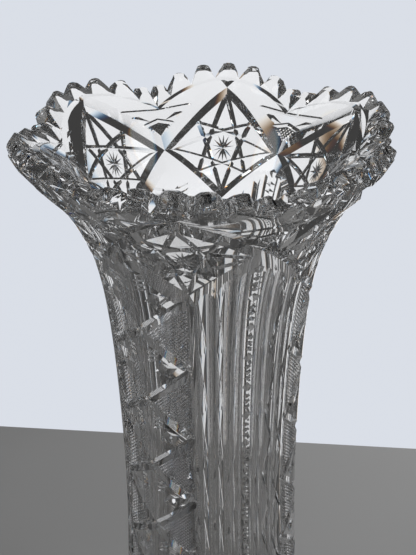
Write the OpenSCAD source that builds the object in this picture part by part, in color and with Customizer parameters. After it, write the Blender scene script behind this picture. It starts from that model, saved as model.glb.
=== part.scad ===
// Cut crystal vase: one thick glass wall of revolution, waisted and flared, cut with
// columns on the stem, six mitred diamonds on the bell and six saw-toothed scallops.
// The glass is one piece. Its nodes are zones of that piece, stacked face to face.

/* [Overall] */
// Height from the table to the highest tooth tips
height = 305; // [295:1:320]
// Thickness of the glass wall, square to the wall
wall_t = 9; // [8:0.5:10]
// Thickness of the solid glass bottom
bottom_t = 14; // [10:1:18]

/* [Wall outline] */
// Radius of the stem before the bell and the foot widen it
core_r = 33.6; // [32:0.2:36]
// How much wider the foot is than the stem, on the radius
foot_flare = 14.5; // [10:0.5:18]
// Height above the table where the foot's widening ends
waist_z = 189; // [170:1:200]
// Outward rise of the bell for each millimetre of height, far above the bend
bell_slope = 0.815; // [0.7:0.005:0.85]
// Height of the bend between stem and bell, measured down from the tooth tips
bell_drop = 38.7; // [36:0.1:42]
// Softness of that bend
bell_bend = 28.4; // [24:0.2:32]

/* [Rim] */
// Drop from the highest tooth tip to the dip between two scallops
scallop_drop = 12.5; // [10:0.5:14]
// Width of a notch between two teeth, at the tooth tips
notch_w = 7; // [6:0.5:8]
// Depth of a notch between two teeth
notch_depth = 5.8; // [4.5:0.1:6]

/* [Cutting] */
// Depth of the mitre cuts that edge the diamonds
mitre_depth = 2.4; // [1.5:0.1:3]
// Depth of the long flutes on the stem
flute_depth = 1.2; // [0.8:0.1:1.6]
// Depth of the crossed mitres on the stem
cross_depth = 2; // [1:0.1:2.5]
// Height of one repeat of the crossed mitres
cross_pitch = 31; // [28:0.5:34]

/* [Hidden] */
crystal = [0.86, 0.89, 0.9, 0.5];
// The pattern repeats in six lobes, each with a scallop over a diamond
lobes = 6;
lobe_angle = 360 / lobes;
lobe_angles = [for (k = [0 : lobes - 1]) (k + 0.5) * lobe_angle];
column_angles = [for (k = [0 : lobes - 1]) k * lobe_angle];
// Heights where one zone of the glass meets the next
dip_z = height - scallop_drop;
foot_top = 28;
shaft_top = dip_z - 42.5;
bell_top = dip_z - 5;
rim_root = dip_z - 2;
// Wall outline
bell_z = height - bell_drop;
foot_power = 2.2;
wall_step = 15;
// Foot: inner corner, outer bottom edge, hollow of the sole, plain band over it
inner_fillet = 13;
foot_chamfer = 1.5;
recess_r = 36;
recess_depth = 1.5;
foot_band = 8;
// Stem cuts: flutes and column lines, with their widths in degrees
flute_offsets = [13, 23.5];
flute_w = 8.5;
column_line_w = 2;
column_line_depth = 1.5;
cross_length = 40;
cut_clear = 4;
// Diamonds on the bell: half height, middle height, bulge of the wall over a chord
diamond_half = 17.2;
diamond_z = dip_z - 18.2;
edge_bulge = 0.9;
// Lip: the wall thins from the inside, by this much times the square of the height over lip_z
lip_z = dip_z - 4;
lip_thinning = 0.018;
// Rim: middle radius of the edge, radius of a scallop's arc, teeth and notches
rim_r = 60;
scallop_r = 60;
tooth_angle = 9.2;
notch_offsets = [for (k = [-3 : 2]) (k + 0.5) * tooth_angle];
// How much a notch's bottom falls for each millimetre outward
notch_fall = 0.35;
// Sector of the edge that one scallop is ground in, with a small lap over its neighbours
sector_in = 30;
sector_out = 90;
sector_lap = 0.3;

function unit(v) = v / norm(v);
// Height above the bend, and the soft corner that the bell follows
function above_bend(z) = z - bell_z;
function bend_span(z) = sqrt(pow(above_bend(z), 2) + pow(bell_bend, 2));
function bell_rise(z) = bell_slope * (above_bend(z) + bend_span(z)) / 2;
function foot_share(z) = max(0, (waist_z - z) / waist_z);
function foot_rise(z) = foot_flare * pow(foot_share(z), foot_power);
function outer_r(z) = core_r + bell_rise(z) + foot_rise(z);
// Slope of the outside of the wall, radius over height
function outer_slope(z) = (outer_r(z + 0.5) - outer_r(z - 0.5));
function lip_gain(z) = lip_thinning * pow(max(0, z - lip_z), 2);
function inner_r(z) = outer_r(z) - wall_t * sqrt(1 + pow(outer_slope(z), 2)) + lip_gain(z);
// Heights from a to b in even steps no longer than wall_step
function steps(a, b) = ceil((b - a) / wall_step);
function heights(a, b) = [for (i = [0 : steps(a, b)]) a + (b - a) * i / steps(a, b)];
function reversed(list) = [for (i = [len(list) - 1 : -1 : 0]) list[i]];
function outer_points(a, b) = [for (z = heights(a, b)) [outer_r(z), z]];
function inner_points(a, b) = [for (z = reversed(heights(a, b))) [inner_r(z), z]];

// A plain stretch of the wall between two heights
module wall_zone(a, b) {
    rotate_extrude($fn = 180)
        polygon(concat(outer_points(a, b), inner_points(a, b)));
}

// A band of the wall's skin, centred on an angle, cut away to an even depth
module band(a, b, middle, width, depth) {
    outside = [for (z = heights(a, b)) [outer_r(z) + cut_clear, z]];
    inside = [for (z = reversed(heights(a, b))) [outer_r(z) - depth, z]];
    rotate([0, 0, middle - width / 2])
        rotate_extrude(angle = width, $fn = 180)
            polygon(concat(outside, inside));
}

// Top of a flute, just under the lower edge of the diamond above it
function flute_top(offset) = diamond_z - diamond_half * (offset + flute_w / 2) / (lobe_angle / 2);

// The long cuts between two heights: four flutes on every second column, and a
// line where two columns meet, under the bottom point of each diamond
module long_cuts(a, b) {
    for (k = [1 : 2 : lobes - 1])
        for (side = [-1, 1])
            for (offset = flute_offsets)
                band(a, min(b, flute_top(offset)), column_angles[k] + side * offset, flute_w, flute_depth);
    for (turn = lobe_angles)
        band(a, min(b, flute_top(lobe_angle / 2)), turn, column_line_w, column_line_depth);
}

// V-shaped cutter along the x axis, centred, its edge down on that axis
module v_cutter(length, width, depth) {
    rotate([90, 0, 90])
        linear_extrude(height = length, center = true)
            polygon([[0, 0], [width / 2, depth], [-width / 2, depth]]);
}

// Puts a cutter at a point with its edge along one direction and its opening outward
module aim(point, direction, outward) {
    x = unit(direction);
    y = unit(cross(outward, x));
    z = cross(x, y);
    multmatrix([[x[0], y[0], z[0], point[0]], [x[1], y[1], z[1], point[1]], [x[2], y[2], z[2], point[2]]])
        children();
}

// Crossed mitres up every other column, between two heights
module crossed_mitres(a, b) {
    repeats = floor((b - a) / cross_pitch);
    for (k = [0 : 2 : lobes - 1])
        rotate([0, 0, column_angles[k]])
            for (i = [0 : repeats - 1])
                for (lean = [-1, 1]) {
                    z = a + (i + 0.5) * cross_pitch;
                    aim([outer_r(z) - cross_depth, 0, z], [0, 1, lean], [1, 0, 0])
                        v_cutter(cross_length, 4 * cross_depth, 3 * cross_depth);
                }
}

// One mitre along an edge of a diamond, from its side point to its top or bottom
module diamond_edge(side, up) {
    z_end = diamond_z + up * diamond_half;
    r_side = outer_r(diamond_z);
    half_angle = lobe_angle / 2;
    side_point = [r_side * cos(half_angle), side * r_side * sin(half_angle), diamond_z];
    end_point = [outer_r(z_end), 0, z_end];
    middle = (side_point + end_point) / 2;
    outward = unit([middle[0], middle[1], -norm([middle[0], middle[1]]) * outer_slope(middle[2])]);
    aim(middle - outward * (mitre_depth - edge_bulge), end_point - side_point, outward)
        v_cutter(norm(end_point - side_point) + 3, 8 * mitre_depth, 4 * mitre_depth);
}

// Half the width of a scallop's sector, that far from the axis
function sector_half(r) = r * tan(lobe_angle / 2) + sector_lap;

// The glass ground away over one scallop, down to the arc of its edge
module scallop_waste() {
    difference() {
        translate([0, 0, rim_root])
            linear_extrude(height = height - rim_root + 1)
                polygon([
                    [sector_in, -sector_half(sector_in)],
                    [sector_out, -sector_half(sector_out)],
                    [sector_out, sector_half(sector_out)],
                    [sector_in, sector_half(sector_in)]
                ]);
        translate([0, 0, height - scallop_r])
            rotate([0, 90, 0])
                cylinder(h = 2 * scallop_r, r = scallop_r, $fn = 180);
    }
}

// V notch across the edge of the glass, at an angle from the scallop's middle. Its
// bottom falls towards the outside by the given slope.
module tooth_notch(offset, fall) {
    arc_drop = scallop_r - sqrt(pow(scallop_r, 2) - pow(rim_r * sin(offset), 2));
    rotate([0, 0, offset])
        aim([rim_r, 0, height - arc_drop - notch_depth], [1, 0, -fall], [fall, 0, 1])
            v_cutter(rim_r, 3 * notch_w, 3 * notch_depth);
}

module foot() {
    fillet_r = inner_r(bottom_t + inner_fillet) - inner_fillet;
    fillet_z = bottom_t + inner_fillet;
    fillet = [for (a = [0 : -15 : -90]) [fillet_r + inner_fillet * cos(a), fillet_z + inner_fillet * sin(a)]];
    sole = [[0, recess_depth], [recess_r, recess_depth], [recess_r + recess_depth, 0]];
    edge = [[outer_r(0) - foot_chamfer, 0]];
    outside = outer_points(foot_chamfer, foot_top);
    inside = [[inner_r(foot_top), foot_top]];
    color(crystal)
        difference() {
            rotate_extrude($fn = 180)
                polygon(concat(sole, edge, outside, inside, fillet, [[0, bottom_t]]));
            long_cuts(foot_band, foot_top + 1);
        }
}

module shaft() {
    color(crystal)
        difference() {
            wall_zone(foot_top, shaft_top);
            long_cuts(foot_top - 1, shaft_top + 1);
            crossed_mitres(foot_top + 4, shaft_top - 4);
        }
}

module bell() {
    color(crystal)
        difference() {
            wall_zone(shaft_top, bell_top);
            long_cuts(shaft_top - 1, bell_top);
            for (turn = lobe_angles)
                rotate([0, 0, turn])
                    for (side = [-1, 1])
                        for (up = [-1, 1])
                            diamond_edge(side, up);
        }
}

module rim() {
    color(crystal)
        difference() {
            wall_zone(bell_top, height);
            for (turn = lobe_angles)
                rotate([0, 0, turn]) {
                    scallop_waste();
                    tooth_notch(lobe_angle / 2, 0);
                    for (offset = notch_offsets)
                        tooth_notch(offset, notch_fall);
                }
        }
}

foot();
shaft();
bell();
rim();
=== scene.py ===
"""Cut crystal vase: the looks of the one-piece cut glass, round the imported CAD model.

The glass is one closed mesh. Its outside is worked out for one lobe, sixty degrees
wide, as a flat sheet of angle and height. Every cut on the sheet is a few flat facets,
each with a depth at its corners, and the glass is cut away to the deepest of them.
The sheet is then wrapped round the wall's outline, and the lobe is repeated six times,
every second one mirrored. Lengths are in millimetres and angles in degrees until the
mesh is made, and heights in the pattern are measured up from the rim's dips.
"""
import math

import bmesh
import bpy
import numpy as np
from mathutils import Matrix, Vector, geometry


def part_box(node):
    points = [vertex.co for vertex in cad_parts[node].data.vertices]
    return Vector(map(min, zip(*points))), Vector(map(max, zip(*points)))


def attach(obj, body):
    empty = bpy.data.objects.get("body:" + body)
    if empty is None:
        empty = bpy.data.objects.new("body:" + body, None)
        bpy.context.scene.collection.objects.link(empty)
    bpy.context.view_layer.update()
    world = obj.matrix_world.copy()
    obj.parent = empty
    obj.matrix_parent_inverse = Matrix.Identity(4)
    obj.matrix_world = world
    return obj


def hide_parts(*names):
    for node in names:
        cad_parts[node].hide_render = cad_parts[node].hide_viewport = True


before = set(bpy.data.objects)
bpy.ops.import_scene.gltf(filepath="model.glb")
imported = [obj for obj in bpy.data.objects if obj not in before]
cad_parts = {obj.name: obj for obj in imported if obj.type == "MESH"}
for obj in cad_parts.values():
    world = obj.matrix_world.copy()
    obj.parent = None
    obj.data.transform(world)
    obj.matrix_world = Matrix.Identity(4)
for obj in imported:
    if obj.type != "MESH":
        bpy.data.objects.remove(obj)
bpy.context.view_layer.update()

MM = 0.001

# ---------------------------------------------------------------- sizes of the glass
# These repeat the sizes of the CAD model.
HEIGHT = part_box("rim")[1].z / MM
BELL_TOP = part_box("bell")[1].z / MM
DIP_Z = BELL_TOP + 5.0
WALL_T = 9.0
BOTTOM_T = 14.0
CORE_R = 33.6
FOOT_FLARE = 14.5
FOOT_POWER = 2.2
WAIST_Z = 189.0
BELL_SLOPE = 0.815
BELL_Z = HEIGHT - 38.7
BELL_BEND = 28.4
LIP_THINNING = 0.018
LIP_Z = DIP_Z - 4.0
INNER_FILLET = 13.0
FOOT_CHAMFER = 1.5
RECESS_R = 36.0
RECESS_DEPTH = 1.5
# Rayed star in the hollow of the sole: radius and depth of its cuts
SOLE_STAR = ((34.0, 0.0), (30.0, 1.4), (20.0, 1.1), (10.0, 0.6), (4.0, 0.25), (0.0, 0.0))

LOBE = 60.0
MIDDLE = LOBE / 2
# Swelling of each lobe under its teeth, and the heights from the dips that it spans
SWELL = 3.2
SWELL_LOW = -15.0
SWELL_HIGH = 17.0


def outer_r(z):
    """Outside radius of the uncut glass at a height above the table."""
    above = z - BELL_Z
    bell = BELL_SLOPE * (above + np.sqrt(above**2 + BELL_BEND**2)) / 2
    foot = FOOT_FLARE * np.maximum(0.0, (WAIST_Z - z) / WAIST_Z) ** FOOT_POWER
    return CORE_R + bell + foot


def outer_slope(z):
    return outer_r(z + 0.5) - outer_r(z - 0.5)


def lobed_r(angle, z):
    """Outside radius with the swelling in the middle of each lobe, under its teeth."""
    up = np.clip((z - DIP_Z - SWELL_LOW) / (SWELL_HIGH - SWELL_LOW), 0, 1)
    return outer_r(z) + SWELL * np.sin(np.pi * up) ** 2 * np.sin(np.radians(angle * 3)) ** 2


def wall_frame(angle, z):
    """Radius of the wall, and the directions outward, around and up it, turned back
    to angle zero."""
    turn, lift = 0.1, 0.2
    r = lobed_r(angle, z)
    across = (lobed_r(angle + turn, z) - lobed_r(angle - turn, z)) / math.radians(2 * turn)
    rise = (lobed_r(angle, z + lift) - lobed_r(angle, z - lift)) / (2 * lift)
    around = np.column_stack([across, r, 0 * r])
    upward = np.column_stack([rise, 0 * r, 1 + 0 * r])
    normal = np.cross(around, upward)
    return r, [v / np.linalg.norm(v, axis=1)[:, None] for v in (normal, around, upward)]


def inner_r(z):
    """Inside radius: an even wall, which thins at the lip."""
    lip = LIP_THINNING * np.maximum(0.0, z - LIP_Z) ** 2
    return outer_r(z) - WALL_T * np.sqrt(1 + outer_slope(z) ** 2) + lip


# ---------------------------------------------------------------- cuts as facets
# A facet is a convex polygon of (angle, height) corners with a plane of depths. A
# facet of a hollow channel also has its middle and its bend, for round shading.
facets = []
hatches = []


def local_scale(point):
    """Millimetres on the wall for one degree and for one millimetre of height."""
    z = DIP_Z + point[1]
    return np.array([outer_r(z) * math.radians(1), math.sqrt(1 + outer_slope(z) ** 2)])


def add_facet(corners, depths, hollow=None):
    """A facet whose plane has these depths at its first three corners."""
    corners = np.array(corners, float)
    rows = np.column_stack([np.ones(3), corners[:3]])
    plane = np.linalg.solve(rows, np.array(depths[:3], float))
    edges = np.roll(corners, -1, axis=0) - corners
    turn = edges[0][0] * edges[1][1] - edges[0][1] * edges[1][0]
    if turn < 0:
        corners = corners[::-1]
        edges = np.roll(corners, -1, axis=0) - corners
    normals = np.column_stack([-edges[:, 1], edges[:, 0]])
    normals /= np.linalg.norm(normals, axis=1)[:, None]
    facets.append((corners, plane, normals, (normals * corners).sum(1), hollow))


def vee(start, end, sides, depth, taper=0.0, over=0.0):
    """A V cut between two points. Its left and right sides may differ in width, and
    it may run over both ends and taper to a point there."""
    start = np.array(start, float)
    end = np.array(end, float)
    scale = local_scale((start + end) / 2)
    along = (end - start) * scale
    length = np.linalg.norm(along)
    along /= length
    across = np.array([-along[1], along[0]])

    def at(forward, sideways):
        return start + (forward * along + sideways * across) / scale

    first = -over
    last = length + over
    taper = min(taper, (last - first) / 2)
    low = first + taper
    high = last - taper
    for side in (sides[0], -sides[1]):
        if high - low > 1e-6:
            add_facet([at(low, 0), at(high, 0), at(high, side), at(low, side)], [depth, depth, 0])
        if taper > 0:
            add_facet([at(low, 0), at(first, 0), at(low, side)], [depth, 0, 0])
            add_facet([at(high, 0), at(last, 0), at(high, side)], [depth, 0, 0])


def line_cut(start, end, width, depth, taper=0.0, over=0.0):
    vee(start, end, (width / 2, width / 2), depth, taper, over)


def flute(middle, width, depth, top, bottom, strips):
    """A long hollow channel up the wall. top() gives its upper end at an angle."""
    stations = [middle + width * (i / strips - 0.5) for i in range(strips + 1)]
    depths = [depth * (1 - (2 * i / strips - 1) ** 2) for i in range(strips + 1)]
    for i in range(strips):
        a, b = stations[i], stations[i + 1]
        corners = [(a, bottom), (b, bottom), (b, top(b)), (a, top(a))]
        hollow = (middle, -8 * depth / width**2)
        add_facet(corners, [depths[i], depths[i + 1], depths[i + 1]], hollow)


def inset(corners, distances):
    """A convex polygon with each side moved inward by its own distance."""
    corners = np.array(corners, float)
    scale = local_scale(corners.mean(0))
    flat = corners * scale
    edges = np.roll(flat, -1, axis=0) - flat
    normals = np.column_stack([-edges[:, 1], edges[:, 0]])
    normals /= np.linalg.norm(normals, axis=1)[:, None]
    centre = flat.mean(0)
    normals *= np.sign(((centre - flat) * normals).sum(1))[:, None]
    reach = (normals * flat).sum(1) + np.array(distances, float)
    points = []
    for i in range(len(flat)):
        pair = np.array([normals[i - 1], normals[i]])
        points.append(np.linalg.solve(pair, np.array([reach[i - 1], reach[i]])) / scale)
    return points


def hatch(corners, pitch, depth, lean=45.0):
    """Fine crossed V cuts that leave rows of small pyramids inside a convex polygon."""
    corners = np.array(corners, float)
    centre = corners.mean(0)
    scale = local_scale(centre)
    axes = [np.array([math.cos(math.radians(a)), math.sin(math.radians(a))]) for a in (lean, -lean)]
    hatches.append((corners, centre, scale, axes, pitch, depth))


# ---------------------------------------------------------------- the pattern of one lobe
# Angle 0 is the middle of a column of crossed mitres, 30 the middle of the lobe, and
# 60 the middle of a fluted column.
# A taper longer than any short cut, which makes that cut a pointed leaf
LEAF = 20.0
TOP = (MIDDLE, 0.5)
BOTTOM = (MIDDLE, -36.2)
LEFT = (0.0, -18.0)
RIGHT = (LOBE, -18.0)
MITRE_SIDES = (5.2, 2.5)
MITRE_D = 2.2
STAR_SIDES = (1.2, 0.75)
STAR_D = 0.65
ROSETTE_Z = -18.2
ROSETTE_RAYS = 7
ROSETTE_REACH = (5.9, 4.7)
ROSETTE_W = 1.1
ROSETTE_D = 0.36
# Width and depth of the fine lines, and depth and pitch of the hatching
FINE = (1.3, 0.5)
HATCH_D = 0.45
KITE_PITCH = 1.15
SIDE_PITCH = 1.1
# The ring over the plain band of the foot, where all the columns end
FOOT_RING_Z = 8.0 - DIP_Z
CROSS_TOP = -36.9
CROSS_REPEATS = 8
CROSS_PITCH = (CROSS_TOP - FOOT_RING_Z - 1.5) / CROSS_REPEATS
CROSS_W = 3.8
CROSS_D = 1.5
# Where in a repeat the crossed mitres meet, as a share of its height
CROSS_AT = 0.585
# The leaf cut in each rhomb and the small ticks over it
RHOMB_LEAF = (6.2, 1.5)
TICK = (1.2, 0.4)
TICKS = 3
TICK_STEP = 2.1
# Flutes beside the bead: distance of their middle from it, width, depth, strips
FLUTES = ((23.3, 10.4, 1.25, 8), (13.2, 9.6, 1.15, 8), (5.6, 5.4, 0.7, 6))
# The bead: a broad notch and three small ones in each period. A notch's reach to each
# side, in degrees, grows over the last stretch under the bell.
BEAD_PERIOD = 13.0
BEAD_REACH = 2.9
BEAD_WIDENING = 2.0
WIDENING_Z = 30
BEAD_NOTCH = (4.4, 1.2)
SMALL_NOTCH = (2.1, 0.6)
SMALL_NOTCHES = 3
SMALL_STEP = 2.5
SMALL_SHARE = 0.8
BOUNDARY = (2.4, 0.9)
FOOT_RING = (4.0, 1.6)


def mirror(point):
    return (LOBE - point[0], point[1])


def lower_edge(angle):
    """Height of the diamond's lower mitres at an angle."""
    share = abs(angle - MIDDLE) / MIDDLE
    return BOTTOM[1] + share * (RIGHT[1] - BOTTOM[1])


def cut_diamond():
    """A mitred diamond with a star of eight points and a rosette in its middle."""
    for a, b in ((LEFT, TOP), (TOP, RIGHT), (RIGHT, BOTTOM), (BOTTOM, LEFT)):
        vee(a, b, MITRE_SIDES, MITRE_D, taper=3.0, over=3.0)
    top = (MIDDLE, -2.4)
    bottom = (MIDDLE, -33.0)
    left = (4.6, -18.0)
    upper_left = (MIDDLE - 11.0, -10.4)
    lower_left = (MIDDLE - 12.5, -26.3)
    right, upper_right, lower_right = mirror(left), mirror(upper_left), mirror(lower_left)
    ring = [top, upper_right, right, lower_right, bottom, lower_left, left, upper_left]
    for i in range(len(ring)):
        vee(ring[i], ring[(i + 3) % len(ring)], STAR_SIDES, STAR_D, over=1.3)
    for i in range(ROSETTE_RAYS):
        turn = math.pi * (i + 0.5) / ROSETTE_RAYS
        across, up = ROSETTE_REACH[0] * math.cos(turn), ROSETTE_REACH[1] * math.sin(turn)
        start = (MIDDLE - across, ROSETTE_Z - up)
        end = (MIDDLE + across, ROSETTE_Z + up)
        line_cut(start, end, ROSETTE_W, ROSETTE_D, taper=4.0)


def cut_kite(side):
    """The hatched kite under one dip, and the cuts between it and the rim."""
    def at(point):
        return mirror(point) if side < 0 else point

    line_cut(at((MIDDLE + 11.0, -3.9)), at((LOBE, -4.6)), *FINE, taper=2.0, over=2.0)
    line_cut(at((MIDDLE + 16.0, -5.6)), at((LOBE - 3.0, -8.0)), 2.4, 0.8, taper=LEAF)
    line_cut(at((LOBE - 9.0, -9.4)), at((LOBE, -7.6)), *FINE, taper=1.5, over=1.5)
    hatch([at((LOBE - 7.5, -9.9)), at((LOBE, -14.6)), at((LOBE, -8.5))], KITE_PITCH, HATCH_D)


def cut_crossed_column():
    """Half of a column of crossed mitres, with hatched sides and plain rhombs."""
    for k in range(CROSS_REPEATS):
        high = CROSS_TOP - k * CROSS_PITCH
        low = high - CROSS_PITCH
        knot = high - CROSS_AT * CROSS_PITCH
        line_cut((MIDDLE, high), (0, knot), CROSS_W, CROSS_D, taper=3.0, over=1.5)
        line_cut((0, knot), (MIDDLE, low), CROSS_W, CROSS_D, taper=3.0, over=1.5)
        side = inset([(MIDDLE, high), (0, knot), (MIDDLE, low)], [1.75, 1.75, 1.0])
        hatch(side, SIDE_PITCH, HATCH_D)
        line_cut((21.5, high + 0.8), (7.5, high - 3.2), *RHOMB_LEAF, taper=LEAF)
        for i in range(TICKS):
            z = high + 6.3 - TICK_STEP * i
            line_cut((12.0 - 0.8 * i, z + 0.8), (3.0, z - 1.2), *TICK, taper=1.5)


def cut_fluted_column():
    """Half of a fluted column, with a notched bead up its middle."""
    for away, width, depth, strips in FLUTES:
        flute(LOBE - away, width, depth, lower_edge, FOOT_RING_Z, strips)
    z = RIGHT[1] - 6.0
    while z > FOOT_RING_Z + 6:
        reach = BEAD_REACH + BEAD_WIDENING * max(0.0, 1 + (z - RIGHT[1]) / WIDENING_Z)
        line_cut((LOBE - reach, z), (LOBE + reach, z), *BEAD_NOTCH, taper=LEAF)
        short = SMALL_SHARE * reach
        for i in range(SMALL_NOTCHES):
            low = z - 4.2 - SMALL_STEP * i
            line_cut((LOBE - short, low), (LOBE + short, low), *SMALL_NOTCH, taper=LEAF)
        z -= BEAD_PERIOD


def cut_boundaries():
    """The line between two columns, and the ring that ends them over the foot."""
    line_cut((MIDDLE, BOTTOM[1] - 1.0), (MIDDLE, FOOT_RING_Z), *BOUNDARY, taper=2.0)
    line_cut((-4, FOOT_RING_Z), (LOBE + 4, FOOT_RING_Z), *FOOT_RING)


cut_diamond()
cut_kite(1)
cut_kite(-1)
cut_crossed_column()
cut_fluted_column()
cut_boundaries()
facet_lows = np.array([facet[0].min(0) for facet in facets])
facet_highs = np.array([facet[0].max(0) for facet in facets])

# ---------------------------------------------------------------- teeth of the rim
# Height of the middle tooth over the dips, and how the others fall away from it
CREST = 12.2
CREST_FALL = 0.0106
TOOTH = 9.2
NOTCHES = [-MIDDLE] + [(i - 2.5) * TOOTH for i in range(6)] + [MIDDLE]
# Heights of the notches' bottoms: a gable inside and a lower curve outside
GABLE = 8.3
GABLE_POWER = 1.7
OUTER_NOTCH = 1.0
OUTER_GABLE = 3.2
# How far the teeth stand back from the inside of the glass, and the slope up to them
SET_BACK = 1.7
BAND = 0.5
# How far the two edges of a tooth are eased
EDGE = 0.35
# The ridge along a tooth: how far it stands up, and how far across the wall it lies
RIDGE = 1.7
RIDGE_AT = 0.35
RIM_SHARES = (0.0, 0.05, RIDGE_AT, 0.95, 1.0)
# One side of a tooth from its notch to its crest, as shares: distance from the middle
# of the tooth, height
TOOTH_SIDE = ((0.7, 0.55), (0.42, 0.93), (0.16, 1.0))


def notch_heights(turn):
    """Height of a notch's bottom at the inside and the outside of the wall."""
    share = abs(turn) / MIDDLE
    return GABLE * (1 - share**GABLE_POWER), OUTER_NOTCH + OUTER_GABLE * (1 - share**2)


def rim_column(turn, z_in, z_out, edge=0.0, ridge=0.0):
    """Points across the rim at one angle, with its two edges eased and a ridge between."""
    r_in = inner_r(DIP_Z + z_in - edge) + SET_BACK
    r_out = lobed_r(MIDDLE + turn, DIP_Z + z_out - edge)
    points = []
    for share in RIM_SHARES:
        drop = edge if share in (0.0, 1.0) else 0.0
        peak = ridge * min(share / RIDGE_AT, (1 - share) / (1 - RIDGE_AT))
        z = z_in + (z_out - z_in) * share - drop + peak
        points.append((MIDDLE + turn, r_in + (r_out - r_in) * share, z))
    return points


def rim_columns():
    """Columns of (angle, radius, height) points over the rim, in order of angle."""
    columns = [rim_column(NOTCHES[0], *notch_heights(NOTCHES[0]))]
    for before, after in zip(NOTCHES, NOTCHES[1:]):
        middle, half = (before + after) / 2, (after - before) / 2
        crest = CREST - CREST_FALL * middle**2
        root_in, root_out = notch_heights(middle)
        rise = [(-away, lift) for away, lift in TOOTH_SIDE]
        fall = [(away, lift) for away, lift in reversed(TOOTH_SIDE)]
        for away, lift in rise + fall:
            low_in, low_out = notch_heights(before if away < 0 else after)
            z_in = low_in + (crest - low_in) * lift
            z_out = low_out + (crest + root_out - root_in - low_out) * lift
            columns.append(rim_column(middle + half * away, z_in, z_out, EDGE * lift, RIDGE * lift))
        columns.append(rim_column(after, *notch_heights(after)))
    return columns


# ---------------------------------------------------------------- the outside as a sheet
# Who shapes a face: a facet by its number, or one of these
UNCUT = -1
IN_HATCH = -2
PLAIN = -3
RIM = -4


def deepest(points, skip_hatch=False):
    """Depth of the cutting at each (angle, height) point, and the facet that cuts it."""
    depth = np.zeros(len(points))
    owner = np.full(len(points), UNCUT)
    close = (facet_lows <= points.max(0)).all(1) & (facet_highs >= points.min(0)).all(1)
    for i in np.nonzero(close)[0]:
        corners, plane, normals, reach, hollow = facets[i]
        inside = ((points @ normals.T) >= reach - 1e-5).all(1)
        value = plane[0] + points @ plane[1:]
        wins = inside & (value > depth)
        depth = np.where(wins, value, depth)
        owner = np.where(wins, i, owner)
    if not skip_hatch:
        for corners, centre, scale, axes, pitch, cut in hatches:
            inside = in_polygon(points, corners)
            flat = (points - centre) * scale / pitch
            off = [np.abs(flat @ axis - np.round(flat @ axis)) for axis in axes]
            value = cut * (1 - 2 * np.minimum(off[0], off[1]))
            wins = inside & (value > depth)
            depth = np.where(wins, value, depth)
            owner = np.where(wins, IN_HATCH, owner)
    return depth, owner


def in_polygon(points, corners, slack=1e-5):
    inside = np.ones(len(points), bool)
    centre = corners.mean(0)
    for a, b in zip(corners, np.roll(corners, -1, axis=0)):
        normal = np.array([a[1] - b[1], b[0] - a[0]])
        normal /= np.linalg.norm(normal)
        normal *= np.sign((centre - a) @ normal)
        inside &= (points - a) @ normal >= -slack
    return inside


def clip(start, step, corners):
    """Where the line start + t * step lies inside a convex polygon."""
    low, high = -1e9, 1e9
    centre = corners.mean(0)
    for a, b in zip(corners, np.roll(corners, -1, axis=0)):
        normal = np.array([a[1] - b[1], b[0] - a[0]])
        normal = normal * np.sign((centre - a) @ normal)
        rate = normal @ step
        gap = normal @ (start - a)
        if abs(rate) < 1e-12:
            if gap < 0:
                return 1.0, 0.0
        elif rate > 0:
            low = max(low, -gap / rate)
        else:
            high = min(high, -gap / rate)
    return low, high


def shown(start, end, plane):
    """Whether a crease of one facet is the deepest cut somewhere along its length."""
    points = start + np.linspace(0.04, 0.96, 7)[:, None] * (end - start)
    own = plane[0] + points @ plane[1:]
    return bool((deepest(points, skip_hatch=True)[0] <= own + 0.01).any())


def crease_lines():
    """The edges of the facets, and the lines where two facets meet at one depth."""
    lines = []
    for corners, plane, normals, reach, hollow in facets:
        for a, b in zip(corners, np.roll(corners, -1, axis=0)):
            if shown(a, b, plane):
                lines.append((a, b))
    for i, first in enumerate(facets):
        near = (facet_lows[i + 1:] < facet_highs[i]).all(1)
        near &= (facet_highs[i + 1:] > facet_lows[i]).all(1)
        for j in np.nonzero(near)[0] + i + 1:
            second = facets[j]
            change = first[1] - second[1]
            size = change[1] ** 2 + change[2] ** 2
            if size < 1e-12:
                continue
            start = -change[0] * change[1:] / size
            step = np.array([-change[2], change[1]]) / math.sqrt(size)
            low_a, high_a = clip(start, step, first[0])
            low_b, high_b = clip(start, step, second[0])
            low, high = max(low_a, low_b), min(high_a, high_b)
            if high - low < 0.05:
                continue
            a, b = start + low * step, start + high * step
            if shown(a, b, first[1]):
                lines.append((a, b))
    return lines


def hatch_lines(shape):
    """Every valley and pyramid edge of one hatched patch, cut off at its outline."""
    corners, centre, scale, axes, pitch, cut = shape
    basis = np.linalg.inv(np.array(axes))
    flat = (corners - centre) * scale / pitch @ np.array(axes).T
    low = np.floor(flat.min(0)).astype(int)
    high = np.ceil(flat.max(0)).astype(int)

    def place(point):
        return (basis @ np.array(point, float)) * pitch / scale + centre

    pieces = []
    for u in range(low[0], high[0] + 1):
        for v in range(low[1], high[1] + 1):
            knot, peak = (u, v), (u + 0.5, v + 0.5)
            pieces.append((knot, (u + 1, v)))
            pieces.append((knot, (u, v + 1)))
            for corner in ((u, v), (u + 1, v), (u, v + 1), (u + 1, v + 1)):
                pieces.append((peak, corner))
    lines = [(a, b) for a, b in zip(corners, np.roll(corners, -1, axis=0))]
    for first, second in pieces:
        a, b = place(first), place(second)
        start, end = clip(a, b - a, corners)
        start, end = max(start, 0.0), min(end, 1.0)
        if end - start > 0.02:
            lines.append((a + start * (b - a), a + end * (b - a)))
    return lines


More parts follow.
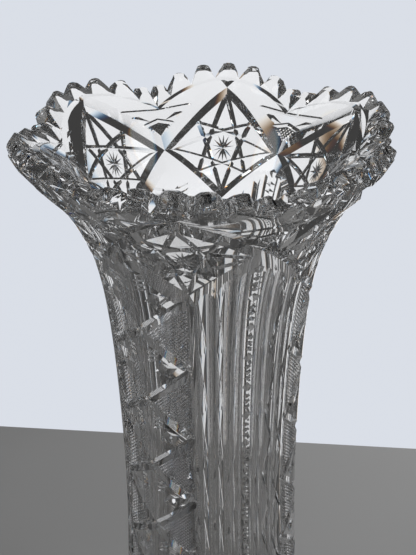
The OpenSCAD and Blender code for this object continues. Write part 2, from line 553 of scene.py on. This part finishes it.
def grid_lines(low, columns):
    """Lines that carry the roundness of the wall, left out of the hatched patches.
    They are close together on the bell and further apart on the stem."""
    bell_step, stem_step = 4.0, 10.0
    heights = [-bell_step * i for i in range(15)]
    z = heights[-1]
    while z - stem_step > low + 2:
        z -= stem_step
        heights.append(z)
    runs = [((0.0, z), (LOBE, z)) for z in heights]
    runs += [((angle, 0.0), (angle, low)) for angle in columns]
    lines = []
    for a, b in runs:
        a, b = np.array(a), np.array(b)
        gaps = []
        for shape in hatches:
            start, end = clip(a, b - a, shape[0])
            start, end = max(start, 0.0), min(end, 1.0)
            if end > start:
                gaps.append((start, end))
        at = 0.0
        for start, end in sorted(gaps) + [(1.0, 1.0)]:
            if start > at:
                lines.append((a + at * (b - a), a + start * (b - a)))
            at = max(at, end)
    return lines


def in_lobe(line):
    """A line cut off at the two sides of the lobe, or None if it lies outside."""
    a, b = line
    start, end = 0.0, 1.0
    step = b[0] - a[0]
    for bound, sign in ((0.0, 1.0), (LOBE, -1.0)):
        gap_a, gap_b = sign * (a[0] - bound), sign * (b[0] - bound)
        if gap_a < 0 and gap_b < 0:
            return None
        if gap_a < 0:
            start = max(start, (bound - a[0]) / step)
        if gap_b < 0:
            end = min(end, (bound - a[0]) / step)
    if end - start < 1e-6:
        return None
    return a + start * (b - a), a + end * (b - a)


def outside_sheet(top_edge, low, columns):
    """Points and triangles of the outside of one lobe, with creases on every edge."""
    outline = [(angle, low) for angle in columns] + [tuple(p) for p in reversed(top_edge)]
    points = [Vector(p) for p in outline]
    ring = list(range(len(points)))
    index = {tuple(np.round(p, 5)): i for i, p in enumerate(outline)}
    edges = set()
    lines = crease_lines() + grid_lines(low, columns)
    for shape in hatches:
        lines += hatch_lines(shape)
    for line in lines:
        kept = in_lobe(line)
        if kept is None:
            continue
        ends = []
        for p in kept:
            key = tuple(np.round(p, 5))
            if key not in index:
                index[key] = len(points)
                points.append(Vector((float(p[0]), float(p[1]))))
            ends.append(index[key])
        if ends[0] != ends[1]:
            edges.add((min(ends), max(ends)))
    made = geometry.delaunay_2d_cdt(points, sorted(edges), [ring], 1, 2e-4)
    flat = np.array([tuple(p) for p in made[0]])
    faces = np.array([tuple(face) for face in made[2]])
    for bound in (0.0, LOBE):
        flat[np.abs(flat[:, 0] - bound) < 1e-3, 0] = bound
        slivers = (flat[faces][:, :, 0] == bound).all(1)
        faces = faces[~slivers]
    return flat, [tuple(int(i) for i in face) for face in faces]


def wrap_cut(flat):
    """Wraps sheet points round the wall and sinks them by the depth of the cuts."""
    z = DIP_Z + flat[:, 1]
    depth = deepest(flat)[0][:, None]
    r, (normal, around, upward) = wall_frame(flat[:, 0], z)
    spot = np.column_stack([r, 0 * r, z]) - depth * normal
    turn = np.degrees(np.arctan2(spot[:, 1], spot[:, 0]))
    turn[(flat[:, 0] == 0) | (flat[:, 0] == LOBE)] = 0
    return np.column_stack([flat[:, 0] + turn, np.hypot(spot[:, 0], spot[:, 1]), spot[:, 2]])


# ---------------------------------------------------------------- the glass mesh
def rows_to_faces(rows, first):
    """Quads between rows of equally many points, numbered on from first."""
    count = len(rows[0])
    faces = []
    for i in range(len(rows) - 1):
        for j in range(count - 1):
            a = first + i * count + j
            faces.append((a, a + 1, a + 1 + count, a + count))
    return faces


def lobe_mesh():
    """(angle, radius, height) points and faces of one lobe, all the way round its wall."""
    columns = rim_columns()
    low = FOOT_CHAMFER - DIP_Z
    sides = 16
    grid = [LOBE * i / sides for i in range(sides + 1)]
    top_edge = [(column[-1][0], column[-1][2]) for column in columns]
    flat, faces = outside_sheet(top_edge, low, grid)
    points = [tuple(p) for p in wrap_cut(flat)]
    owners = deepest(flat[np.array(faces)].mean(1))[1].tolist()
    rim = [[(p[0], p[1], DIP_Z + p[2]) for p in row] for row in zip(*columns)]
    rim[-1] = [tuple(p) for p in wrap_cut(np.array(top_edge))]
    faces += rows_to_faces(rim, len(points))
    points += [p for row in rim for p in row]
    owners += [RIM] * (len(faces) - len(owners))
    inside = inside_rows(rim[0])
    faces += rows_to_faces(inside, len(points))
    points += [p for row in inside for p in row]
    sole = sole_rows(grid)
    faces += rows_to_faces(sole, len(points))
    points += [p for row in sole for p in row]
    owners += [PLAIN] * (len(faces) - len(owners))
    return points, faces, owners


def inside_rows(edge):
    """Rows down the inside of the glass from the rim's inner edge to the floor."""
    count = len(edge)
    gables = [DIP_Z + notch_heights(angle - MIDDLE)[0] for angle, r, z in edge]
    rows = [edge]
    rows.append([(p[0], inner_r(g) + SET_BACK, g) for p, g in zip(edge, gables)])
    rows.append([(p[0], inner_r(g - BAND), g - BAND) for p, g in zip(edge, gables)])
    even = [LOBE * j / (count - 1) for j in range(count)]
    # Below this height the rows are level and evenly spaced round the lobe
    level = DIP_Z - 6.0
    for share in (1 / 3, 2 / 3, 1):
        row = []
        for p, g, plain in zip(edge, gables, even):
            z = g - BAND + (level - g + BAND) * share
            row.append((p[0] + (plain - p[0]) * share, inner_r(z), z))
        rows.append(row)
    floor_z = BOTTOM_T + INNER_FILLET
    z = level
    while z > floor_z + 9:
        z -= 5.0 if z > 220 else 9.0
        rows.append([(plain, inner_r(z), z) for plain in even])
    fillet_r = inner_r(floor_z) - INNER_FILLET
    for turn in range(0, 91, 15):
        r = fillet_r + INNER_FILLET * math.cos(math.radians(turn))
        h = floor_z - INNER_FILLET * math.sin(math.radians(turn))
        rows.append([(plain, r, h) for plain in even])
    for share in (0.5, 0.0):
        rows.append([(plain, fillet_r * share, BOTTOM_T) for plain in even])
    return rows


def sole_rows(grid):
    """Rows under the foot: chamfer, resting ring, and a hollow with a rayed star."""
    rows = [[(angle, outer_r(FOOT_CHAMFER), FOOT_CHAMFER) for angle in grid]]
    edge = outer_r(0) - FOOT_CHAMFER
    rows.append([(angle, edge, 0.0) for angle in grid])
    rows.append([(angle, RECESS_R + RECESS_DEPTH, 0.0) for angle in grid])
    rows.append([(angle, RECESS_R, RECESS_DEPTH) for angle in grid])
    for radius, cut in SOLE_STAR:
        ray = [abs(((j + 2) % 4) - 2) / 2 for j in range(len(grid))]
        rows.append([(angle, radius, RECESS_DEPTH + cut * (1 - k)) for angle, k in zip(grid, ray)])
    return rows


def polished_normals(mesh):
    """True normals of the wall and of each flat cut, so that creases stay crisp."""
    count = len(mesh.polygons)
    owner = np.zeros(count, int)
    mesh.attributes["cut"].data.foreach_get("value", owner)
    owner = np.repeat(owner, 3)
    spots = np.zeros(3 * len(mesh.vertices))
    mesh.vertices.foreach_get("co", spots)
    corner = np.zeros(3 * count, int)
    mesh.loops.foreach_get("vertex_index", corner)
    spots = spots.reshape(-1, 3)[corner] / MM
    normals = np.zeros(9 * count)
    mesh.corner_normals.foreach_get("vector", normals)
    normals = normals.reshape(-1, 3)
    # The angle within the lobe, and whether the lobe is a mirrored one
    middle = spots.reshape(-1, 3, 3).mean(1)
    centre = np.repeat(np.degrees(np.arctan2(middle[:, 1], middle[:, 0])), 3)
    base = 2 * LOBE * np.round(centre / (2 * LOBE))
    side = np.sign((centre - base + 180) % 360 - 180)
    turn = np.degrees(np.arctan2(spots[:, 1], spots[:, 0]))
    angle = side * ((turn - base + 180) % 360 - 180)
    # How the depth of the cut changes with the angle and with the height
    grade = np.zeros((len(angle), 2))
    cut = owner >= 0
    grade[cut] = np.array([facet[1] for facet in facets])[owner[cut]][:, 1:]
    for i, facet in enumerate(facets):
        if facet[4] is not None:
            own = owner == i
            deepest_angle, bend = facet[4]
            grade[own, 0] = bend * (angle[own] - deepest_angle)
    r, (normal, around, upward) = wall_frame(angle, spots[:, 2])
    tilt_around = grade[:, 0] / (r * math.radians(1))
    tilt_upward = grade[:, 1] / np.sqrt(1 + outer_slope(spots[:, 2]) ** 2)
    normal = normal + tilt_around[:, None] * around + tilt_upward[:, None] * upward
    normal /= np.linalg.norm(normal, axis=1)[:, None]
    bearing = np.radians(base + side * angle)
    cos, sin = np.cos(bearing), np.sin(bearing)
    outward, sideways = normal[:, 0], side * normal[:, 1]
    east = outward * cos - sideways * sin
    north = outward * sin + sideways * cos
    use = owner >= UNCUT
    normals[use] = np.column_stack([east, north, normal[:, 2]])[use]
    mesh.normals_split_custom_set(normals.tolist())


# Edges between faces that turn more than this are sharp
CREASE = math.radians(24)
RIM_CREASE = math.radians(14)
# In metres
WELD = 2e-6
SLIVER = 1e-6


def make_glass():
    """The closed glass: three pairs of one lobe and its mirror image, welded."""
    points, faces, owners = lobe_mesh()
    mesh = bpy.data.meshes.new("crystal_vase")
    spots, polygons = [], []
    for k in range(3):
        for side in (1, -1):
            first = len(spots)
            for angle, r, z in points:
                turn = math.radians(2 * LOBE * k + side * angle)
                spots.append((MM * r * math.cos(turn), MM * r * math.sin(turn), MM * z))
            polygons += [tuple(first + i for i in face) for face in faces]
    mesh.from_pydata(spots, [], polygons)
    cut = mesh.attributes.new("cut", "INT", "FACE")
    cut.data.foreach_set("value", owners * 6)
    work = bmesh.new()
    work.from_mesh(mesh)
    bmesh.ops.remove_doubles(work, verts=work.verts, dist=WELD)
    bmesh.ops.dissolve_degenerate(work, dist=SLIVER, edges=work.edges)
    bmesh.ops.triangulate(work, faces=work.faces)
    bmesh.ops.recalc_face_normals(work, faces=work.faces)
    owner = work.faces.layers.int["cut"]
    for edge in work.edges:
        on_rim = all(face[owner] == RIM for face in edge.link_faces)
        edge.smooth = edge.calc_face_angle(0) < (RIM_CREASE if on_rim else CREASE)
    open_edges = sum(1 for e in work.edges if not e.is_manifold)
    print("GLASS", len(work.verts), "vertices,", len(work.faces), "faces,", open_edges, "open")
    work.to_mesh(mesh)
    work.free()
    mesh.polygons.foreach_set("use_smooth", [True] * len(mesh.polygons))
    polished_normals(mesh)
    mesh.attributes.remove(mesh.attributes["cut"])
    glass = bpy.data.objects.new("crystal_vase", mesh)
    bpy.context.scene.collection.objects.link(glass)
    return glass


# ---------------------------------------------------------------- materials
def new_material(name):
    material = bpy.data.materials.new(name)
    material.use_nodes = True
    tree = material.node_tree
    shader = tree.nodes["Principled BSDF"]
    return material, tree, shader


def crystal_material():
    """Clear lead crystal whose tint varies faintly from place to place."""
    material, tree, shader = new_material("cut_crystal")
    shader.inputs["Transmission Weight"].default_value = 1.0
    shader.inputs["Roughness"].default_value = 0.0
    shader.inputs["IOR"].default_value = 1.55
    place = tree.nodes.new("ShaderNodeTexCoord")
    cloud = tree.nodes.new("ShaderNodeTexNoise")
    cloud.inputs["Scale"].default_value = 22.0
    cloud.inputs["Detail"].default_value = 3.0
    tint = tree.nodes.new("ShaderNodeValToRGB")
    tint.color_ramp.elements[0].position = 0.35
    tint.color_ramp.elements[0].color = (0.75, 0.745, 0.735, 1)
    tint.color_ramp.elements[1].position = 0.65
    tint.color_ramp.elements[1].color = (0.83, 0.825, 0.82, 1)
    tree.links.new(place.outputs["Object"], cloud.inputs["Vector"])
    tree.links.new(cloud.outputs["Fac"], tint.inputs["Fac"])
    tree.links.new(tint.outputs["Color"], shader.inputs["Base Color"])
    return material


def floor_material():
    """Plain grey studio surface with a faint mottling."""
    material, tree, shader = new_material("studio_floor")
    place = tree.nodes.new("ShaderNodeTexCoord")
    mottle = tree.nodes.new("ShaderNodeTexNoise")
    mottle.inputs["Scale"].default_value = 6.0
    tint = tree.nodes.new("ShaderNodeValToRGB")
    tint.color_ramp.elements[0].color = (0.235, 0.235, 0.235, 1)
    tint.color_ramp.elements[1].color = (0.275, 0.275, 0.275, 1)
    tree.links.new(place.outputs["Object"], mottle.inputs["Vector"])
    tree.links.new(mottle.outputs["Fac"], tint.inputs["Fac"])
    tree.links.new(tint.outputs["Color"], shader.inputs["Base Color"])
    shader.inputs["Roughness"].default_value = 0.55
    return material


# ---------------------------------------------------------------- camera, light and floor
CAMERA_AZIMUTH = 278.7
CAMERA_DISTANCE = 0.29925
CAMERA_HEIGHT = 0.4064
CAMERA_PITCH = 28.78
CAMERA_YAW = -0.03
CAMERA_ROLL = -0.86
CAMERA_LENS = 59.37
LIGHT_SIZE = 0.3
# The sweep behind the vase and the panels round it, as sines of half width and height
SWEEP_HALF = 0.22
SWEEP_TOP = 0.1
BACKDROP_COLOR = (0.70, 0.735, 0.80, 1)
SWEEP_COLOR = (1.05, 1.07, 1.11)
ROOM_LIGHT = 0.06
PANELS = 4
PANEL_SHARE = 0.9
PANEL_FOOT = -0.27
# How softly they end: at the sides, at the top and foot, and away from their middle
SIDE_SOFT = 0.06
END_SOFT = 0.15
FACING = (0.2, 0.4)
# Soft windows of the room: azimuth and elevation, half angle, brightness. The middle
# share of each is at full brightness.
WINDOW_CORE = 0.75
WINDOWS = [(212, 22, 14, 2.3), (346, 30, 12, 2.3), (278, 20, 6, 2.3)]
# How far red and blue are drawn apart at the edges of bright areas, in place of the
# glass's own dispersion: as a sine, and for the windows in degrees
FRINGE = 0.0045
WINDOW_FRINGE = 0.8


def add_camera():
    turn = math.radians(CAMERA_AZIMUTH)
    data = bpy.data.cameras.new("camera")
    data.lens = CAMERA_LENS
    data.sensor_width = 36.0
    data.clip_start = 0.01
    camera = bpy.data.objects.new("camera", data)
    bpy.context.scene.collection.objects.link(camera)
    x, y = CAMERA_DISTANCE * math.cos(turn), CAMERA_DISTANCE * math.sin(turn)
    place = Matrix.Translation((x, y, CAMERA_HEIGHT))
    heading = Matrix.Rotation(turn + math.radians(90 + CAMERA_YAW), 4, "Z")
    tilt = Matrix.Rotation(math.radians(90 - CAMERA_PITCH), 4, "X")
    roll = Matrix.Rotation(math.radians(CAMERA_ROLL), 4, "Z")
    camera.matrix_world = place @ heading @ tilt @ roll
    bpy.context.scene.camera = camera


def toward(azimuth, elevation):
    """Unit direction to a point of the compass and a height, in degrees."""
    turn, rise = math.radians(azimuth), math.radians(elevation)
    return (math.cos(turn) * math.cos(rise), math.sin(turn) * math.cos(rise), math.sin(rise))


def add_area(name, azimuth, elevation, distance, power):
    """A soft square light on the floor, aimed at the middle of the vase. The glass
    sees the world's panels and windows instead of it."""
    data = bpy.data.lights.new(name, "AREA")
    data.shape = "SQUARE"
    data.size = LIGHT_SIZE
    data.energy = power
    light = bpy.data.objects.new(name, data)
    light.visible_camera = False
    light.visible_glossy = False
    light.visible_transmission = False
    bpy.context.scene.collection.objects.link(light)
    away = Vector(toward(azimuth, elevation))
    middle = Vector((0, 0, 0.5 * HEIGHT * MM))
    facing = away.to_track_quat("Z", "Y").to_matrix().to_4x4()
    light.matrix_world = Matrix.Translation(middle + away * distance) @ facing


def add_world():
    """A dim room with a bright sweep behind the vase, three more panels round it and
    three soft windows. The camera itself sees a plain backdrop instead."""
    world = bpy.data.worlds.new("studio")
    world.use_nodes = True
    tree = world.node_tree
    back = tree.nodes["Background"]
    place = tree.nodes.new("ShaderNodeTexCoord")

    def dot(direction):
        node = tree.nodes.new("ShaderNodeVectorMath")
        node.operation = "DOT_PRODUCT"
        node.inputs[1].default_value = direction
        tree.links.new(place.outputs["Generated"], node.inputs[0])
        return node.outputs["Value"]

    def ramp(value, dark, bright, top=1.0):
        node = tree.nodes.new("ShaderNodeMapRange")
        node.interpolation_type = "SMOOTHSTEP"
        node.inputs["From Min"].default_value = dark
        node.inputs["From Max"].default_value = bright
        node.inputs["To Max"].default_value = top
        tree.links.new(value, node.inputs["Value"])
        return node.outputs["Result"]

    def combine(operation, a, b):
        node = tree.nodes.new("ShaderNodeMath")
        node.operation = operation
        for socket, value in zip(node.inputs, (a, b)):
            if isinstance(value, float):
                socket.default_value = value
            else:
                tree.links.new(value, socket)
        return node.outputs[0]

    height = dot((0, 0, 1))
    color = tree.nodes.new("ShaderNodeCombineColor")
    for channel, shift in enumerate((1.0, 0.0, -1.0)):
        below = ramp(height, SWEEP_TOP + END_SOFT - shift * FRINGE, SWEEP_TOP - shift * FRINGE)
        light = ROOM_LIGHT
        for i in range(PANELS):
            turn = math.radians(CAMERA_AZIMUTH + 180 + 360 * i / PANELS)
            shine = SWEEP_COLOR[channel] * (1.0 if i == 0 else PANEL_SHARE)
            sideways = combine("ADD", dot((-math.sin(turn), math.cos(turn), 0)), shift * FRINGE)
            panel = ramp(combine("ABSOLUTE", sideways, 0.0), SWEEP_HALF + SIDE_SOFT, SWEEP_HALF, shine)
            facing = ramp(dot((math.cos(turn), math.sin(turn), 0)), *FACING)
            panel = combine("MULTIPLY", combine("MULTIPLY", panel, facing), below)
            if i > 0:
                panel = combine("MULTIPLY", panel, ramp(height, PANEL_FOOT - END_SOFT, PANEL_FOOT))
            light = combine("ADD", light, panel)
        for azimuth, elevation, half, strength in WINDOWS:
            facing = dot(toward(azimuth + shift * WINDOW_FRINGE, elevation))
            edge, core = math.cos(math.radians(half)), math.cos(math.radians(half * WINDOW_CORE))
            light = combine("ADD", light, ramp(facing, edge, core, strength))
        tree.links.new(light, color.inputs[channel])
    seen = tree.nodes.new("ShaderNodeMix")
    seen.data_type = "RGBA"
    seen.inputs["B"].default_value = BACKDROP_COLOR
    path = tree.nodes.new("ShaderNodeLightPath")
    tree.links.new(color.outputs[0], seen.inputs["A"])
    tree.links.new(path.outputs["Is Camera Ray"], seen.inputs["Factor"])
    tree.links.new(seen.outputs["Result"], back.inputs["Color"])
    bpy.context.scene.world = world


def add_floor():
    """A wide floor that ends a little way behind the vase, with a slanted far edge."""
    turn = math.radians(CAMERA_AZIMUTH + 180)
    mesh = bpy.data.meshes.new("floor")
    work = bmesh.new()
    back, front, half, slant = 0.208, 1.6, 1.2, 0.11
    near, far = back - slant * half, back + slant * half
    corners = [(-front, -half), (near, -half), (far, half), (-front, half)]
    work.faces.new([work.verts.new((x, y, 0)) for x, y in corners])
    work.to_mesh(mesh)
    work.free()
    floor = bpy.data.objects.new("floor", mesh)
    bpy.context.scene.collection.objects.link(floor)
    floor.matrix_world = Matrix.Rotation(turn, 4, "Z")
    mesh.materials.append(floor_material())


def set_render():
    """Plain colours, and enough bounces for light to pass through all the glass."""
    scene = bpy.context.scene
    scene.view_settings.view_transform = "Standard"
    scene.cycles.use_denoising = True
    scene.cycles.max_bounces = 24
    scene.cycles.transmission_bounces = 14
    scene.cycles.glossy_bounces = 12
    scene.cycles.sample_clamp_indirect = 1.6


glass = make_glass()
glass.data.materials.append(crystal_material())
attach(glass, "root")
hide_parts("foot", "shaft", "bell", "rim")

add_camera()
add_world()
add_floor()
add_area("key", 45, 38, 0.8, 6.4)
add_area("fill", 200, 40, 0.9, 0.9)
set_render()
